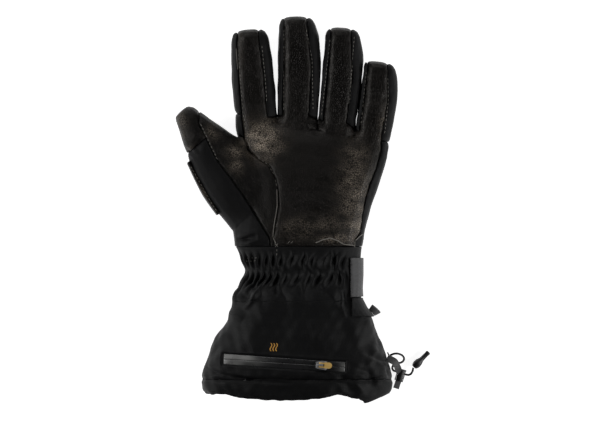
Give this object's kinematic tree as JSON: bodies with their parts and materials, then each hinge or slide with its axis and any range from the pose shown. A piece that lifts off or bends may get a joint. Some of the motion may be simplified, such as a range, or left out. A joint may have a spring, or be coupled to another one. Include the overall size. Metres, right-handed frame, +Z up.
{
  "type": "heated glove",
  "caption": "Padded left-hand winter glove with leather palm, gathered wrist, wrist strap and long flared cuff with zip pocket and hem drawcord.",
  "frame": {"origin": "on the surface that the glove lies on, under the middle of the glove without its free drawcord", "axes": "+Y from the open end of the cuff to the fingertips, +Z up out of the palm, +X to the little finger side"},
  "size_m": [0.2135, 0.3238, 0.0641],
  "materials": {
    "palm_leather": "pebbled black goat leather, warm sheen where it is rubbed",
    "thumb_leather": "smooth black leather",
    "softshell": "matt black woven softshell",
    "lining": "brushed black lining",
    "webbing": "dark grey webbing",
    "coated_tape": "glossy coated zip tape",
    "steel": "dark plated zip slider",
    "gilt": "golden zip puller",
    "black_plastic": "moulded black plastic",
    "grey_plastic": "moulded grey plastic",
    "cord": "braided elastic cord"
  },
  "bodies": {
    "glove": {"palm_leather": "palm_leather", "hand_back": "softshell", "finger_index": "softshell", "finger_middle": "softshell", "finger_ring": "softshell", "finger_little": "softshell", "thumb_leather": "thumb_leather", "thumb_tip": "thumb_leather", "thumb_back": "softshell", "thumb_patch": "thumb_leather", "wrist_gather": "softshell", "wrist_strap": "webbing", "cord_tunnel": "softshell", "cuff": "softshell", "hem_band": "softshell", "zip_tape_upper": "coated_tape", "zip_tape_lower": "coated_tape", "zip_slider": "steel", "cord_lock": "black_plastic", "cord_eyelet": "black_plastic", "hem_cord": "cord", "cord_end": "black_plastic", "cord_tab": "webbing", "pull_tab": "webbing"},
    "puller": {"zip_puller": "gilt"},
    "button": {"lock_button": "grey_plastic"}
  },
  "joints": [
    {"name": "puller_swing", "type": "hinge", "parent": "glove", "child": "puller", "pos_m": [0.02563, -0.12848, 0.06235], "axis": [-0.0634, -0.9915, 0.1135], "range_deg": [0, 165]},
    {"name": "button_press", "type": "slide", "parent": "glove", "child": "button", "axis": [0.3156, 0.9489, 0], "range_m": [0, 0.003], "stiffness_N_per_m": 300, "springref_m": -0.001}
  ]
}
